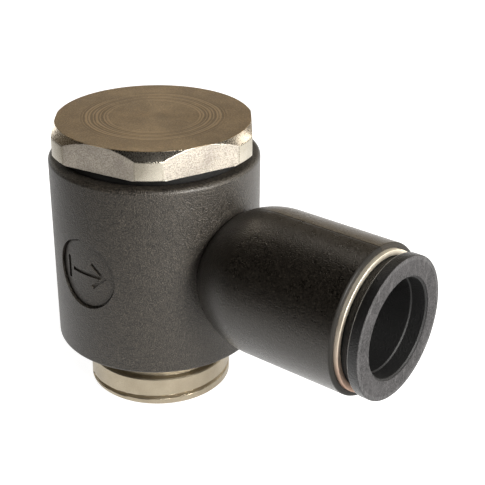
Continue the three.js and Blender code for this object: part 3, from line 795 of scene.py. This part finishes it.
seals = [("upperORing", "upper_o_ring", 0.72), ("lowerORing", "lower_o_ring", 0.72),
         ("portSeal", "port_seal", 0.70), ("seatORing", "seat_o_ring", 0.26)]    # with the cord's radius
seat = {"bore": 2.5, "land": 0.35, "landSlope": 0.58, "landHeight": 0.2, "groove": 0.56, "grooveHalf": 0.4}
poppet = {"stem": 1.3, "bore": 0.8, "head": 1.1, "sealBore": 2.25, "gap": 0.04, "mouth": 0.3}
jet = {"bore": 0.25, "mouth": 0.5}
screen = {"hole": 0.12, "holes": 6, "ring": 0.6}
spring = {"wire": 0.2, "turns": 3.5, "stepsPerTurn": 36}
guide = {"bore": 1.36, "hole": 0.45, "holes": 8, "ring": 3.25}
clip = {"width": 1.0, "earInner": 1.55, "earOuter": 0.55, "earHalf": 1.8, "gapHalf": 0.8}


def makeSeals():
    for name, node, size in seals:
        low, high = span(node)
        turnedPiece(name, node, ringOutline(high.x - size, (low.z + high.z) / 2, size), rubber, 144)


def makeSeat():
    low, high = span("valve_seat")
    outer, bore, foot = high.x, seat["bore"], low.z + seat["landHeight"]
    middle, half = (high.z + foot) / 2, seat["grooveHalf"]
    groove = outer - seat["groove"]
    turnedPiece("valveSeat", "valve_seat", [
        (bore, low.z, 0.06), (bore + seat["land"], low.z, 0.06), (bore + seat["landSlope"], foot),
        (outer, foot, 0.1), (outer, middle - half, 0.04), (groove, middle - half), (groove, middle + half),
        (outer, middle + half, 0.04), (outer, high.z, 0.1), (bore, high.z, 0.15),
    ], brass, 144)


def makePoppet():
    low, high = span("poppet")
    sealLow, sealHigh = span("poppet_seal")
    radius, stem, bore = high.x, poppet["stem"], poppet["bore"]
    under, gap, sealBore = high.z - poppet["head"], poppet["gap"], poppet["sealBore"]
    turnedPiece("poppet", "poppet", [
        (bore, low.z, 0.06), (stem, low.z, 0.15), (stem, under, 0.12), (radius, under, 0.12),
        (radius, high.z, 0.04), (sealHigh.x + gap, high.z), (sealHigh.x + gap, sealLow.z - gap),
        (sealBore, sealLow.z - gap), (sealBore, high.z, 0.04), (bore + poppet["mouth"], high.z, 0.04),
        (bore, high.z - poppet["mouth"]),
    ], brass, 144)
    turnedPiece("poppetSeal", "poppet_seal", [
        (sealBore + gap, sealLow.z, 0.08), (sealHigh.x, sealLow.z, 0.08), (sealHigh.x, sealHigh.z, 0.12),
        (sealBore + gap, sealHigh.z, 0.12),
    ], rubber, 144)


def punch(piece, spots, radius, sides, low, high):
    for spot in spots:
        place = Matrix.Translation((*spot, 0))
        hole = prism(circlePoints(radius, sides), low.z - 1, high.z + 1, place)
        combine(piece, asObject(hole, "hole"), "DIFFERENCE")


def makeJetAndScreen():
    low, high = span("metering_jet")
    turnedPiece("meteringJet", "metering_jet", [
        (jet["bore"], low.z, 0.05), (high.x, low.z, 0.1), (high.x, high.z, 0.05),
        (jet["mouth"], high.z, 0.04), (jet["bore"], high.z - 0.25, 0.05),
    ], brass, 96)
    low, high = span("jet_screen")
    outline = [(0, low.z), (high.x, low.z, 0.04), (high.x, high.z, 0.04), (0, high.z)]
    disc = asObject(spunMesh(outline, 96, 2), "jetScreen")
    spots = [(0, 0)] + circlePoints(high.x * screen["ring"], screen["holes"])
    punch(disc, spots, screen["hole"], 16, low, high)
    finishPiece(disc, "jet_screen", steel)


def makeSpring():
    low, high = span("check_spring")
    wire, turns = spring["wire"], spring["turns"]
    steps = round(turns * spring["stepsPerTurn"])
    start = Matrix.Translation((high.x - wire, 0, low.z + wire)) @ Matrix.Rotation(pi / 2, 4, "X")
    bm = bmesh.new()
    bmesh.ops.create_circle(bm, cap_ends=True, segments=14, radius=wire, matrix=start)
    rise = (high.z - low.z - 2 * wire) / steps
    bmesh.ops.spin(bm, geom=bm.faces[:], cent=(0, 0, 0), axis=(0, 0, 1), angle=2 * pi * turns,
                   dvec=(0, 0, rise), steps=steps, use_duplicate=False)
    bmesh.ops.remove_doubles(bm, verts=bm.verts, dist=1e-4)
    bmesh.ops.recalc_face_normals(bm, faces=bm.faces)
    coil = finishPiece(asObject(bm, "checkSpring"), "check_spring", steel)
    travel = next(j for j in frame["joints"] if j["name"] == "poppet_slide")["range_m"][1] / mm
    length = high.z - low.z
    (length - travel) / length
    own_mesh(coil)


def squareRing(name, inner, outer, low, high, steps, segments, roundings):
    corners = ((inner, low.z), (outer, low.z), (outer, high.z), (inner, high.z))
    outline = [(*corner, rounding) for corner, rounding in zip(corners, roundings)]
    return asObject(spunMesh(outline, steps, segments), name)


def makeGuideAndClip():
    low, high = span("spring_guide")
    plate = squareRing("springGuide", guide["bore"], high.x, low, high, 144, 3, (0.08, 0.12, 0.08, 0.08))
    punch(plate, circlePoints(guide["ring"], guide["holes"]), guide["hole"], 32, low, high)
    finishPiece(plate, "spring_guide", brass)
    low, high = span("retaining_clip")
    outer, ear, gap = high.x, clip["earHalf"], clip["gapHalf"]
    ring = squareRing("retainingClip", outer - clip["width"], outer, low, high, 192, 2, (0.05,) * 4)
    ears = asObject(spunMesh([
        (outer - clip["earInner"], low.z, 0.05), (outer - clip["earOuter"], low.z),
        (outer - clip["earOuter"], high.z), (outer - clip["earInner"], high.z, 0.05)], 192, 2), "ears")
    zone = [(-outer, -ear), (0, -ear), (0, ear), (-outer, ear)]
    combine(ears, asObject(prism(zone, low.z - 1, high.z + 1), "zone"), "INTERSECT")
    combine(ring, ears, "UNION")
    slot = [(-outer - 1, -gap), (0, -gap), (0, gap), (-outer - 1, gap)]
    combine(ring, asObject(prism(slot, low.z - 1, high.z + 1), "gap"), "DIFFERENCE")
    finishPiece(ring, "retaining_clip", steel)


makeSeals()
makeSeat()
makePoppet()
makeJetAndScreen()
makeSpring()
makeGuideAndClip()
print("seals and check valve made")

scene.view_settings.view_transform = "Standard"
